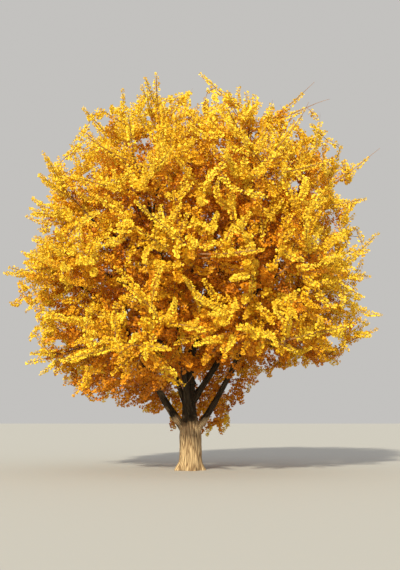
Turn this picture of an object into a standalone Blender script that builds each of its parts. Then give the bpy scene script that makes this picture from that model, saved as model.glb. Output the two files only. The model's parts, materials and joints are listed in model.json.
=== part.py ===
"""A full-grown ginkgo in autumn leaf: a short furrowed trunk that forks low, ascending limbs,
and a broad round-shouldered crown of foliage masses. Metres, +Z up, the origin where the trunk's axis
meets the ground. +X is the photograph's right, and -Y is towards whoever looks at it."""

import math
from collections import namedtuple

import bmesh
import bpy
import numpy as np
from mathutils import Vector
from mathutils.bvhtree import BVHTree

# Crown: its reach from the trunk at each height, towards -X and towards +X
CROWN_HEIGHTS = (1.4, 2.0, 2.6, 3.2, 4.4, 5.6, 7.0, 8.4, 9.6, 10.8, 11.6, 12.1, 12.25)
CROWN_LEFT = (1.2, 3.1, 4.3, 4.95, 5.2, 5.8, 5.5, 5.2, 4.6, 4.1, 2.6, 1.2, 0.0)
CROWN_RIGHT = (1.0, 1.8, 3.6, 5.45, 5.8, 5.75, 5.85, 5.45, 5.5, 5.0, 3.0, 1.4, 0.0)
BACK_LEVEL = 2.3  # below this height the crown behind the trunk keeps the reach that it has there
UNDERSIDE = 2.2  # height of the lowest tips, on the trunk's left
UNDERSIDE_LEAST = 1.35
UNDERSIDE_RISE = 1.25  # how much higher they are on its right
UNDERSIDE_RISE_FROM = -0.3
UNDERSIDE_RISE_OVER = 1.8
UNDERSIDE_DROP = 0.45  # how far it falls with each metre behind the trunk
UNDERSIDE_DROP_MIDDLE = 0.5
UNDERSIDE_DROP_WIDTH = 1.6
UNDERSIDE_ARCH = 0.45  # how much higher it is over the fork
UNDERSIDE_ARCH_RADIUS = 1.5

# The pitch of young shoots at each height, and the radius about the trunk within which they stand up
GROWTH_HEIGHTS = (2.0, 4.0, 6.5, 9.0, 11.0)
GROWTH_PITCHES = (-38, -8, 22, 55, 82)
UPRIGHT_RADIUS = 1.6

# Trunk: radius at each height, with lobes where the roots spread
TRUNK_HEIGHTS = (0.0, 0.12, 0.35, 0.75, 1.1, 1.35, 1.6, 2.0, 2.6)
TRUNK_RADII = (0.48, 0.4, 0.35, 0.33, 0.33, 0.285, 0.23, 0.2, 0.165)
TRUNK_SIDES = 18
ROOT_LOBES = 5
ROOT_LOBE_DEPTH = 0.16
ROOT_LOBE_FADE = 0.4  # height by which the root lobes have died away
TRUNK_SWAY = 0.03
TRUNK_SWAY_WAVES = 2.1  # radians per metre of height

# Limbs
GAP = 0.0003  # between pieces that meet
CUT_CLEARANCE = 0.0004  # by which a parent is swollen before a child is cut to fit it
TIP_RADIUS = 0.04
TAPER_POWER = 0.85
STRAIGHT_STEP = 0.06  # of a limb's or stem's run, before it bends
LIMB_POINTS = 7
MEASURED_POINTS = 40  # along a new limb, to see what it would touch
MAIN_BEVEL = 2  # 8 sides
SIDE_BEVEL = 1  # 6 sides
CHILD_TO_PARENT = 0.62
SIDE_LIMB_LIMIT = 0.085
SIDE_LIMB_MINIMUM = 0.7  # length
SIDE_LIMB_ANGLES = (18, 42, 80)  # from its parent in degrees: the least, the best and the most
ANGLE_COST = 0.03  # metres of length for each degree away from the best angle
DROP_COST = 5  # metres of length for a limb that would have to go down
LIMB_SPACING = 0.05
LEAVING_LENGTH = 0.55  # a limb has left its parent after this much of its run

# Foliage masses
TWIGS_PER_MASS = 5
STEM_BACK = 0.95  # from a mass's centre back to where its bough ends
STEM_AHEAD = 0.55
STEM_RADII = (0.036, 0.02)
STEM_ROOM = 0.1
TWIG_RADII = (0.024, 0.011)
TWIG_LENGTHS = (1.9, 1.7, 1.5, 1.3, 1.1, 0.9, 0.7)  # the longest that fits is taken
TWIG_FIRST = 0.2  # where along the stem the lowest one leaves
TWIG_SPREAD = math.radians(66)
TWIG_LAST_SPREAD = 0.25  # of that, for the one that carries on from the stem's tip
TWIG_BEND = 0.7
TWIG_TURNS = (0.0, 0.5, -0.5, 1.0, -1.0)  # tried in turn, in radians about the stem
LEAF_LENGTH = 1.05
LEAF_WIDTH = 0.95
LEAF_NOTCH = 0.86  # where the cleft between the two lobes ends, as a share of the length
LEAF_MIDDLE = 0.62  # where the leaf is thickest
LEAF_THICKNESS = 0.03
LEAF_SPACING = 0.01
LEAF_SPREAD = math.radians(48)
LEAF_TIP_SPREAD = 0.15
LEAF_TURN_TO_GROWTH = 0.35
LEAF_EVERY = 0.37  # along a twig, back from its tip
LEAF_FIRST = 0.3  # the least distance of a leaf from its twig's root
LEAF_TRIES = 12
LEAF_ROOT = 0.005  # how far a leaf's stalk is sunk past its twig's axis
TWIG_SPACING = 0.02
SPACE_MARGIN = 0.012
GOLDEN_ANGLE = math.pi * (3 - math.sqrt(5))

Tier = namedtuple("Tier", "name count first_azimuth height reach_share")
TIERS = (
    Tier("low", 6, 8, 3.55, 0.74),
    Tier("middle", 8, 2, 5.9, 0.76),
    Tier("shoulder", 7, -8, 8.35, 0.74),
    Tier("top", 5, 30, 10.45, 0.5),
    Tier("heart", 2, 200, 7.0, 0.2),
)

# A main limb leaves the trunk's axis at a height, on a heading, and ends in the mass named last
MainLimb = namedtuple("MainLimb", "name height azimuth pitch radius mass")
MAIN_LIMBS = (
    MainLimb("leader", 2.6, 0, 90, 0.15, "top_1"),
    MainLimb("left_limb", 1.02, 182, 47, 0.135, "middle_5"),
    MainLimb("right_limb", 0.98, -4, 50, 0.115, "middle_1"),
    MainLimb("right_leader", 1.98, 6, 52, 0.11, "shoulder_1"),
    MainLimb("left_leader", 1.72, 168, 66, 0.085, "top_3"),
    MainLimb("front_limb", 1.62, 262, 50, 0.1, "shoulder_6"),
    MainLimb("back_limb", 1.5, 88, 46, 0.1, "shoulder_3"),
)

HEART_STAGGER = 1.5  # one heart mass lies this far below the tier's height and one above

Mass = namedtuple("Mass", "name centre seed")
Limb = namedtuple("Limb", "name parent points radii")
Leaf = namedtuple("Leaf", "root along across")


def unit(vector):
    return vector / np.linalg.norm(vector)


def heading(azimuth, pitch):
    """Unit vector of an azimuth from +X towards +Y and a pitch above level, both in degrees."""
    a, p = math.radians(azimuth), math.radians(pitch)
    return np.array([math.cos(a) * math.cos(p), math.sin(a) * math.cos(p), math.sin(p)])


def crown_reach(towards_right, height):
    """Reach of the crown on a heading whose cosine from +X is given, between its two side outlines."""
    left = np.interp(height, CROWN_HEIGHTS, CROWN_LEFT, 0, 0)
    right = np.interp(height, CROWN_HEIGHTS, CROWN_RIGHT, 0, 0)
    return (left + right + (right - left) * towards_right) / 2


def underside(x, y):
    """Height of the crown's underside over each place on the ground."""
    rise = UNDERSIDE_RISE * np.clip((x - UNDERSIDE_RISE_FROM) / UNDERSIDE_RISE_OVER, 0, 1)
    middle = np.exp(-(((x - UNDERSIDE_DROP_MIDDLE) / UNDERSIDE_DROP_WIDTH) ** 2))
    drop = UNDERSIDE_DROP * np.maximum(y, 0) * middle
    arch = UNDERSIDE_ARCH * np.exp(-((np.hypot(x, y) / UNDERSIDE_ARCH_RADIUS) ** 2))
    return np.maximum(UNDERSIDE + rise - drop + arch, UNDERSIDE_LEAST)


def in_crown(points):
    """Whether every point lies within the crown's outline and above its underside."""
    x, y, z = points.T
    radius = np.hypot(x, y)
    level = np.where(y > 1, np.maximum(z, BACK_LEVEL), z)
    return bool(np.all((radius < crown_reach(x / radius, level)) & (z > underside(x, y))))


def growth(point):
    """The way shoots grow at a place: upright at the top, level at mid height, drooping at the foot."""
    radius = math.hypot(point[0], point[1])
    pitch = np.interp(point[2], GROWTH_HEIGHTS, GROWTH_PITCHES)
    pitch += (85 - pitch) * math.exp(-((radius / UPRIGHT_RADIUS) ** 2))
    return heading(math.degrees(math.atan2(point[1], point[0])), pitch)


def foliage_masses():
    """One mass for each place of each tier, spaced evenly round the crown's axis."""
    masses = []
    for tier in TIERS:
        for index in range(tier.count):
            outward = heading(tier.first_azimuth + 360 * index / tier.count, 0)
            reach = crown_reach(outward[0], tier.height) * tier.reach_share
            centre = outward * reach + [0, 0, tier.height]
            if tier.name == "heart":
                centre[2] += HEART_STAGGER * (2 * index - 1)
            masses.append(Mass(f"{tier.name}_{index + 1}", centre, 100 + len(masses)))
    return masses


def curve_between(start, start_heading, end, end_heading, count):
    """Cubic Bezier through both ends on both headings, with handles a third of the span long. A
    short straight step comes before it, so that a face cut across its start is square to its heading."""
    first = start + start_heading * STRAIGHT_STEP
    reach = np.linalg.norm(end - first) / 3
    a, b = first + start_heading * reach, end - end_heading * reach
    t = np.linspace(0, 1, count - 1)[:, None]
    curve = (1 - t) ** 3 * first + 3 * (1 - t) ** 2 * t * a + 3 * (1 - t) * t**2 * b + t**3 * end
    return np.concatenate([start[None], curve])


def distances(path):
    """Distance along a path to each of its points."""
    steps = np.linalg.norm(np.diff(path[:, :3], axis=0), axis=1)
    return np.concatenate([[0], np.cumsum(steps)])


def even_samples(path, count):
    """Rows of a path (places, or places and radii) at even distances along it."""
    run = distances(path)
    at = np.linspace(0, run[-1], count)
    return np.stack([np.interp(at, run, column) for column in path.T], axis=1)


def taper(path, first, last):
    """Radii that fall from first to last along a path."""
    run = distances(path)
    return first + (last - first) * (run / run[-1]) ** TAPER_POWER


def bough_end(mass):
    """Where a mass's bough ends, and its heading there."""
    outward = growth(mass.centre)
    return mass.centre - outward * STEM_BACK, unit(outward + [0, 0, 0.25])


def stem_space(mass):
    """The room that a mass's stem needs, as a limb to measure from."""
    start = bough_end(mass)[0]
    end = mass.centre + growth(mass.centre) * STEM_AHEAD
    return Limb(mass.name + "_stem", None, np.array([start, end]), np.full(2, STEM_ROOM))


def distance_to_limb(points, limb):
    """Least distance from any of the points to the limb's surface, taken as a chain of cones."""
    first, last = limb.points[:-1], limb.points[1:]
    run = last - first
    offset = points[:, None, :] - first[None]
    share = np.clip((offset * run).sum(-1) / (run * run).sum(-1), 0, 1)
    gap = np.linalg.norm(offset - share[..., None] * run, axis=-1)
    radii = limb.radii[:-1] + share * (limb.radii[1:] - limb.radii[:-1])
    return float((gap - radii).min())


def trunk_limb():
    """The trunk as a limb, to measure from."""
    heights = np.array(TRUNK_HEIGHTS)
    points = np.stack([trunk_axis(heights), np.zeros(len(heights)), heights], axis=1)
    return Limb("trunk", None, points, np.array(TRUNK_RADII))


def trunk_axis(height):
    return TRUNK_SWAY * np.sin(np.asarray(height) * TRUNK_SWAY_WAVES)


def main_limbs(masses, trunk):
    """The limbs that leave the trunk. The leader carries on from its flat top."""
    by_name = {mass.name: mass for mass in masses}
    limbs = []
    for spec in MAIN_LIMBS:
        end, end_heading = bough_end(by_name[spec.mass])
        start = np.array([float(trunk_axis(spec.height)), 0, spec.height])
        if spec.name == "leader":
            start[2] += GAP
        path = curve_between(
            start, heading(spec.azimuth, spec.pitch), end, end_heading, LIMB_POINTS + 1
        )
        radii = taper(path, spec.radius, TIP_RADIUS)
        limbs.append(Limb(spec.name, trunk, path, radii))
    return limbs


def side_limb(mass, parents, others):
    """The shortest limb to the mass that leaves a parent at a natural angle and clears the rest."""
    least, usual, most = SIDE_LIMB_ANGLES
    end, end_heading = bough_end(mass)
    best = None
    for parent in parents:
        places = even_samples(np.column_stack([parent.points, parent.radii]), 31)
        for i in range(6, 28):
            start, width = places[i, :3], places[i, 3]
            tangent = unit(places[i + 1, :3] - places[i - 1, :3])
            run = end - start
            length = np.linalg.norm(run)
            angle = math.degrees(math.acos(np.clip(tangent @ run / length, -1, 1)))
            cost = length + ANGLE_COST * abs(angle - usual) + (DROP_COST if run[2] < -0.3 else 0)
            if not least < angle < most or length < SIDE_LIMB_MINIMUM or (best and cost >= best[0]):
                continue
            first = min(CHILD_TO_PARENT * width, SIDE_LIMB_LIMIT)
            leave = unit(0.45 * tangent + 0.75 * run / length)
            path = curve_between(start, leave, end, end_heading, LIMB_POINTS)
            radii = taper(path, first, min(TIP_RADIUS, first))
            samples = even_samples(np.column_stack([path, radii]), MEASURED_POINTS)
            if not clears(samples, parent, others):
                continue
            best = (cost, Limb(mass.name + "_bough", parent, path, radii))
    return best and best[1]


def clears(samples, parent, others):
    """Whether a new limb stays off every other limb, and off its parent once it has left it."""
    left_parent = np.linalg.norm(samples[:, :3] - samples[0, :3], axis=1) > LEAVING_LENGTH
    for other in others:
        for sample in samples[left_parent] if other is parent else samples:
            if distance_to_limb(sample[None, :3], other) < sample[3] + LIMB_SPACING:
                return False
    return True


def all_limbs(masses):
    trunk = trunk_limb()
    limbs = main_limbs(masses, trunk)
    carried = {spec.mass for spec in MAIN_LIMBS}
    ends = {spec.mass: limb for spec, limb in zip(MAIN_LIMBS, limbs)}
    for mass in masses:
        if mass.name in carried:
            continue
        stems = [stem_space(other) for other in masses if other is not mass]
        limb = side_limb(mass, limbs, [trunk, *limbs, *stems])
        if limb is None:
            raise RuntimeError(f"no limb reaches {mass.name}")
        limbs.append(limb)
        ends[mass.name] = limb
    return trunk, limbs, ends


def keeps_to_space(points, mass, masses):
    """Whether the points lie in the mass's own space: nearer its centre than any other's, in the crown."""
    for other in masses:
        if other is mass:
            continue
        across = unit(other.centre - mass.centre)
        middle = (other.centre + mass.centre) / 2
        if ((points - middle) @ across).max() > -SPACE_MARGIN:
            return False
    return in_crown(points)


def clear_of_limbs(points, radius, limbs):
    return all(distance_to_limb(points, limb) > radius for limb in limbs)


def turned(vector, axis, angle):
    """Rodrigues' rotation of a vector about a unit axis."""
    return (
        vector * math.cos(angle)
        + np.cross(axis, vector) * math.sin(angle)
        + axis * (axis @ vector) * (1 - math.cos(angle))
    )


def any_normal(vector):
    return unit(np.cross(vector, [0.31, 0.92, 0.24]))


def mass_stem(mass, bough):
    """The stem carries on from its bough's tip, past the mass's centre, bending to the way shoots grow."""
    leave = unit(bough.points[-1] - bough.points[-2])
    start = bough.points[-1] + leave * GAP
    outward = growth(mass.centre)
    return curve_between(start, leave, mass.centre + outward * STEM_AHEAD, outward, 4)


def twig_path(root, leave, length):
    """A twig that leaves its stem on one heading and bends to the way shoots grow where it ends."""
    bent = unit(leave + TWIG_BEND * growth(root + leave * length))
    end = root + unit(leave + 0.4 * bent) * length
    middle = (root + end) / 2 + (leave - bent) * length * 0.12
    return np.array([root, middle, end])


def longest_twig(root, leave, mass, masses, limbs):
    for length in TWIG_LENGTHS:
        path = twig_path(root, leave, length)
        points = even_samples(path, 14)
        if keeps_to_space(points, mass, masses) and clear_of_limbs(
            points, TWIG_RADII[0] + TWIG_SPACING, limbs
        ):
            return path
    return None


def mass_twigs(mass, stem, masses, limbs):
    """Twigs spiral up the stem by the golden angle. Each is turned to where it can be longest, and left
    out if it fits nowhere."""
    random = np.random.default_rng(mass.seed)
    twigs = []
    for index in range(TWIGS_PER_MASS):
        share = TWIG_FIRST + (1 - TWIG_FIRST) * index / (TWIGS_PER_MASS - 1)
        place = even_samples(stem, 101)
        at = int(round(share * 100))
        root = place[at]
        tangent = unit(place[min(at + 2, 100)] - place[max(at - 2, 0)])
        first_roll = GOLDEN_ANGLE * index + random.uniform(-0.3, 0.3)
        spread = TWIG_SPREAD * random.uniform(0.85, 1.1)
        if index == TWIGS_PER_MASS - 1:
            spread *= TWIG_LAST_SPREAD
        best = None
        for turn in TWIG_TURNS:
            side = turned(any_normal(tangent), tangent, first_roll + turn)
            leave = unit(tangent * math.cos(spread) + side * math.sin(spread))
            path = longest_twig(root, leave, mass, masses, limbs)
            if path is not None and (best is None or distances(path)[-1] > distances(best)[-1]):
                best = path
        if best is not None:
            twigs.append(best)
    return twigs


def leaf_tree(leaf):
    """The leaf's faces, to test for touching: four round each of its two thickest points."""
    upper = [(k, (k + 1) % 4, 4) for k in range(4)]
    lower = [((k + 1) % 4, k, 5) for k in range(4)]
    normal = unit(np.cross(leaf.along, leaf.across)) * LEAF_THICKNESS / 2
    middle = leaf.root + leaf.along * LEAF_MIDDLE
    points = [*leaf_corners(leaf), middle + normal, middle - normal]
    return BVHTree.FromPolygons([Vector(p) for p in points], upper + lower, epsilon=LEAF_SPACING)


def twig_tree(path, radius):
    """A three-sided prism along the twig, to test for touching."""
    points, faces = [], []
    for number, (first, last) in enumerate(zip(path, path[1:])):
        along = unit(last - first)
        side = any_normal(along)
        for place in (first, last):
            for k in range(3):
                points.append(Vector(place + turned(side, along, 2 * math.pi * k / 3) * radius))
        base = 6 * number
        for k in range(3):
            j = (k + 1) % 3
            faces.append((base + k, base + j, base + 3 + j, base + 3 + k))
    return BVHTree.FromPolygons(points, faces, epsilon=LEAF_SPACING)


def leaf_surface(leaf):
    """Points spread over a leaf, its corners among them."""
    corners = leaf_corners(leaf)
    share = np.linspace(0, 1, 7)
    left = corners[0] + np.outer(share, corners[1] - corners[0])
    right = corners[0] + np.outer(share, corners[3] - corners[0])
    rows = [l + np.outer(np.linspace(0, 1, 5), r - l) for l, r in zip(left, right)]
    return np.concatenate([*rows, corners])


def leaf_corners(leaf):
    """Stalk, first lobe, cleft and second lobe of a fan-shaped leaf."""
    return np.array(
        [
            leaf.root,
            leaf.root + leaf.along + leaf.across / 2,
            leaf.root + leaf.along * LEAF_NOTCH,
            leaf.root + leaf.along - leaf.across / 2,
        ]
    )


def mass_leaves(mass, stem, twigs, masses, limbs):
    """Fans on alternate sides of each twig and one at its tip, each kept if it fits the mass's space."""
    random = np.random.default_rng(mass.seed + 1000)
    leaves = []
    standing = []
    woods = [twig_tree(path, TWIG_RADII[0]) for path in twigs] + [twig_tree(stem, STEM_RADII[0])]
    sites = []
    for carrier, path in enumerate([*twigs, stem]):
        length = distances(path)[-1]
        steps = int((length - LEAF_FIRST) / LEAF_EVERY) + 1
        sites += [(step, carrier, 1 - step * LEAF_EVERY / length) for step in range(steps)]
    for number, (step, carrier, share) in enumerate(sorted(sites)):
        path = twigs[carrier] if carrier < len(twigs) else stem
        others = woods[:carrier] + woods[carrier + 1 :]
        place = even_samples(path, 51)
        at = int(round(share * 50))
        tangent = unit(place[min(at + 2, 50)] - place[max(at - 2, 0)])
        for attempt in range(LEAF_TRIES):
            roll = math.pi * number + random.uniform(-0.7, 0.7) + 0.8 * attempt
            spread = LEAF_TIP_SPREAD if step == 0 else LEAF_SPREAD * random.uniform(0.75, 1.3)
            size = random.uniform(0.92, 1.12) * (1 - 0.03 * attempt)
            side = turned(any_normal(tangent), tangent, roll)
            along = unit(tangent * math.cos(spread) + side * math.sin(spread))
            along = unit(along + LEAF_TURN_TO_GROWTH * growth(place[at]))
            across = turned(any_normal(along), along, random.uniform(0, math.pi))
            leaf = Leaf(
                place[at] - along * LEAF_ROOT,
                along * LEAF_LENGTH * size,
                across * LEAF_WIDTH * size,
            )
            points = leaf_surface(leaf)
            tree = leaf_tree(leaf)
            if (
                keeps_to_space(points, mass, masses)
                and not any(tree.overlap(other) for other in standing + others)
                and clear_of_limbs(points, LEAF_THICKNESS, limbs)
            ):
                leaves.append(leaf)
                standing.append(tree)
                break
    return leaves


def material(name, colour, roughness):
    made = bpy.data.materials.new(name)
    made.use_nodes = True
    shader = made.node_tree.nodes["Principled BSDF"]
    shader.inputs["Base Color"].default_value = (*colour, 1)
    shader.inputs["Roughness"].default_value = roughness
    shader.inputs["Metallic"].default_value = 0
    return made


def mesh_object(name, mesh, collection):
    made = bpy.data.objects.new(name, mesh)
    collection.objects.link(made)
    return made


def trunk_mesh():
    """A loft of rings: the root flare's lobes die away upwards, so no two sections are alike."""
    angles = np.linspace(0, 2 * math.pi, TRUNK_SIDES, endpoint=False)
    builder = bmesh.new()
    rings = []
    for height, radius in zip(TRUNK_HEIGHTS, TRUNK_RADII):
        fade = max(0.0, 1 - height / ROOT_LOBE_FADE)
        lobes = ROOT_LOBE_DEPTH * fade * np.cos(ROOT_LOBES * angles + 0.6)
        reach = radius * (1 + lobes)
        x = trunk_axis(height) + reach * np.cos(angles)
        y = reach * np.sin(angles)
        rings.append([builder.verts.new((a, b, height)) for a, b in zip(x, y)])
    for low, high in zip(rings, rings[1:]):
        for i in range(TRUNK_SIDES):
            j = (i + 1) % TRUNK_SIDES
            builder.faces.new((low[i], low[j], high[j], high[i]))
    builder.faces.new(rings[0][::-1])
    builder.faces.new(rings[-1])
    mesh = bpy.data.meshes.new("trunk")
    builder.to_mesh(mesh)
    builder.free()
    return mesh


def tube_object(name, points, radii, bevel, collection):
    """A tapering round limb: a curve with a bevel, turned into a mesh with its caps welded on."""
    curve = bpy.data.curves.new(name, "CURVE")
    curve.dimensions = "3D"
    curve.bevel_depth = 1.0
    curve.use_fill_caps = True
    if bevel is None:
        curve.bevel_mode = "OBJECT"
        curve.bevel_object = bpy.data.objects["twig_section"]
    else:
        curve.bevel_resolution = bevel
    spline = curve.splines.new("POLY")
    spline.points.add(len(points) - 1)
    for point, place, radius in zip(spline.points, points, radii):
        point.co = (*place, 1)
        point.radius = radius
    holder = bpy.data.objects.new(name + "_curve", curve)
    collection.objects.link(holder)
    bpy.context.view_layer.update()
    graph = bpy.context.evaluated_depsgraph_get()
    mesh = bpy.data.meshes.new_from_object(holder.evaluated_get(graph))
    builder = bmesh.new()
    builder.from_mesh(mesh)
    bmesh.ops.remove_doubles(builder, verts=builder.verts, dist=1e-5)
    bmesh.ops.recalc_face_normals(builder, faces=builder.faces)
    builder.to_mesh(mesh)
    builder.free()
    bpy.data.objects.remove(holder)
    return mesh_object(name, mesh, collection)


def twig_section():
    """The three-sided section of a twig: a triangle of unit radius."""
    curve = bpy.data.curves.new("twig_section", "CURVE")
    spline = curve.splines.new("POLY")
    spline.points.add(2)
    for index, point in enumerate(spline.points):
        angle = 2 * math.pi * index / 3
        point.co = (math.cos(angle), math.sin(angle), 0, 1)
    spline.use_cyclic_u = True
    made = bpy.data.objects.new("twig_section", curve)
    made.hide_render = True
    made.display_type = "WIRE"
    return made


def leaf_object(name, leaf, collection):
    """A fan of eight faces: a coarse ball whose rim is drawn out to the stalk, two lobes and the cleft."""
    builder = bmesh.new()
    bmesh.ops.create_uvsphere(builder, u_segments=4, v_segments=2, radius=1)
    stalk, left, notch, right = leaf_corners(leaf)
    normal = unit(np.cross(leaf.along, leaf.across))
    middle = leaf.root + leaf.along * LEAF_MIDDLE
    for vert in builder.verts:
        x, y, z = vert.co
        if abs(z) > 0.5:
            vert.co = middle + normal * math.copysign(LEAF_THICKNESS / 2, z)
        elif abs(x) > 0.5:
            vert.co = notch if x > 0 else stalk
        else:
            vert.co = left if y > 0 else right
    mesh = bpy.data.meshes.new(name)
    builder.to_mesh(mesh)
    builder.free()
    return mesh_object(name, mesh, collection)


def fuse(base, others):
    """One Boolean union of the base with a collection of objects, applied; the others are removed."""
    modifier = base.modifiers.new("fuse", "BOOLEAN")
    modifier.operation = "UNION"
    modifier.operand_type = "COLLECTION"
    modifier.collection = others
    modifier.solver = "MANIFOLD"
    bpy.context.view_layer.update()
    graph = bpy.context.evaluated_depsgraph_get()
    mesh = bpy.data.meshes.new_from_object(base.evaluated_get(graph))
    base.modifiers.remove(modifier)
    base.data = mesh
    keep_outer_shell(mesh)
    for other in list(others.objects):
        bpy.data.objects.remove(other)
    bpy.data.collections.remove(others)


def signed_volume(faces):
    """Six times the volume a set of faces encloses: negative for a shell that is inside out."""
    total = 0.0
    for face in faces:
        corners = [loop.vert.co for loop in face.loops]
        for b, c in zip(corners[1:], corners[2:]):
            total += corners[0].dot(b.cross(c))
    return total


def keep_outer_shell(mesh):
    """Fills sealed hollows and drops loose scraps: only the shell with the most in it stays."""
    builder = bmesh.new()
    builder.from_mesh(mesh)
    waiting = set(builder.faces)
    shells = []
    while waiting:
        shell = {waiting.pop()}
        rim = list(shell)
        while rim:
            near = {f for e in rim.pop().edges for f in e.link_faces} & waiting
            waiting -= near
            shell |= near
            rim.extend(near)
        shells.append(shell)
    shells.sort(key=signed_volume)
    for shell in shells[:-1]:
        bmesh.ops.delete(builder, geom=list(shell), context="FACES")
    builder.to_mesh(mesh)
    builder.free()


def cut_to_fit(child, cutter):
    """Cuts the limb where it runs inside a swollen copy of what it leaves, so that it seats on it."""
    modifier = child.modifiers.new("seat", "BOOLEAN")
    modifier.operation = "DIFFERENCE"
    modifier.object = cutter
    modifier.solver = "EXACT"


def build_trunk(collection, bark):
    """The trunk and stem, from the ground to where the leader carries on."""
    trunk = mesh_object("trunk", trunk_mesh(), collection)
    trunk.data.materials.append(bark)
    trunk.data.shade_smooth()
    trunk.data.set_sharp_from_angle(angle=math.radians(40))


def swollen_trunk(collection):
    """What the main limbs are cut with."""
    cutter = mesh_object("trunk_cutter", trunk_mesh(), collection)
    for vert in cutter.data.vertices:
        out = Vector((vert.co.x - float(trunk_axis(vert.co.z)), vert.co.y, 0)).normalized()
        vert.co += out * CUT_CLEARANCE


def build_limb(limb, collection, cutters, bark):
    bevel = SIDE_BEVEL if limb.name.endswith("_bough") else MAIN_BEVEL
    made = tube_object(limb.name, limb.points, limb.radii, bevel, collection)
    made.data.materials.append(bark)
    made.data.shade_smooth()
    if limb.name == "leader":
        return
    parent = limb.parent
    cutter_name = parent.name + "_cutter"
    if cutter_name not in bpy.data.objects:
        bevel = SIDE_BEVEL if parent.name.endswith("_bough") else MAIN_BEVEL
        tube_object(cutter_name, parent.points, parent.radii + CUT_CLEARANCE, bevel, cutters)
    cut_to_fit(made, bpy.data.objects[cutter_name])


def build_mass(mass, bough, masses, limbs, collection, foliage):
    """One node: a stem that goes on from its bough, its twigs and its leaves."""
    stem = mass_stem(mass, bough)
    twigs = mass_twigs(mass, stem, masses, limbs)
    leaves = mass_leaves(mass, stem, twigs, masses, limbs)
    pieces = bpy.data.collections.new(mass.name + "_pieces")
    bpy.context.scene.collection.children.link(pieces)
    radii = taper(stem, *STEM_RADII)
    base = tube_object(mass.name + "_foliage", stem, radii, None, collection)
    for number, twig in enumerate(twigs):
        radii = taper(twig, *TWIG_RADII)
        tube_object(f"{mass.name}_twig_{number}", twig, radii, None, pieces)
    for number, leaf in enumerate(leaves):
        leaf_object(f"{mass.name}_leaf_{number}", leaf, pieces)
    fuse(base, pieces)
    base.data.materials.clear()
    base.data.materials.append(foliage)


def main():
    for thing in list(bpy.data.objects):
        bpy.data.objects.remove(thing)
    tree = bpy.data.collections.new("ginkgo")
    cutters = bpy.data.collections.new("cutters")
    for collection in (tree, cutters):
        bpy.context.scene.collection.children.link(collection)
    cutters.objects.link(twig_section())
    bark = material("bark", (0.27, 0.2, 0.14), 0.9)
    foliage = material("autumn_leaf", (0.9, 0.55, 0.02), 0.6)

    masses = foliage_masses()
    trunk, limbs, ends = all_limbs(masses)
    build_trunk(tree, bark)
    swollen_trunk(cutters)
    for limb in limbs:
        build_limb(limb, tree, cutters, bark)
    for mass in masses:
        build_mass(mass, ends[mass.name], masses, [trunk, *limbs], tree, foliage)
    for cutter in cutters.objects:
        cutter.hide_render = True
        cutter.display_type = "WIRE"


main()
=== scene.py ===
"""A full-grown ginkgo in golden autumn leaf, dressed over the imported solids. Metres, +Z up, -Y towards
the camera. The limbs and twigs grow by the same rule as the solids, and are carried on here to leafy
shoots, whose leaves stand in tufts along them."""

import json
import math
from collections import namedtuple

import bpy
import numpy as np
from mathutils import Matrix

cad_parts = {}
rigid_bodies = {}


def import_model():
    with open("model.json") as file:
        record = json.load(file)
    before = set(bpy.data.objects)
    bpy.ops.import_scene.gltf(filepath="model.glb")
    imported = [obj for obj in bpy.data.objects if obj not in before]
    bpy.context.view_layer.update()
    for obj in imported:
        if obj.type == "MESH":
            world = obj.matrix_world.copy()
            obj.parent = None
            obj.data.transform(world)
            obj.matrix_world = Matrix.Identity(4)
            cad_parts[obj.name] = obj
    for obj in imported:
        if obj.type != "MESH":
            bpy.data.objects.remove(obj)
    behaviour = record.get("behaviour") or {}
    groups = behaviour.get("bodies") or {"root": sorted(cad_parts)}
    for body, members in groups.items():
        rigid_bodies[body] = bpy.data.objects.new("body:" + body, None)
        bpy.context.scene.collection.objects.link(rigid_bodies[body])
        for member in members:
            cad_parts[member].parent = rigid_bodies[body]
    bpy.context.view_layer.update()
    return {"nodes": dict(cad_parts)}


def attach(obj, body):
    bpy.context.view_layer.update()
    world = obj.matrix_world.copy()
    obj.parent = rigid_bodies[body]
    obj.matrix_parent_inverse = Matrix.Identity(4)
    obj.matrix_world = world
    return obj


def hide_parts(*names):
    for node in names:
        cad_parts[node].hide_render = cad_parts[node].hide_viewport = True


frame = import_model()
FOLIAGE_NODES = [name for name in frame["nodes"] if name.endswith("_foliage")]
LIMB_NODES = [name for name in frame["nodes"] if name not in FOLIAGE_NODES and name != "trunk"]

# Camera and light. The photograph is 400 by 570 pixels, taken from eye height, looking up.
PHOTO_HEIGHT = 570
FOCAL_PIXELS = 900
CAMERA_PLACE = (0.311, -28.0, 1.6)
CAMERA_PITCH = math.radians(8.35)
SENSOR = 36
SUN_FROM = (-0.27, -0.84, 0.5)
SUN_STRENGTH = 3.95
SUN_SOFTNESS = math.radians(3)
SUN_COLOUR = (1.0, 0.93, 0.72)
SKY_COLOUR = (0.88, 0.865, 0.84)
SKY_STRENGTH = 0.62
FLOOR_SIZE = 400
FLOOR_COLOUR = (0.54, 0.535, 0.52)
FLOOR_ROUGHNESS = 0.9

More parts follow.
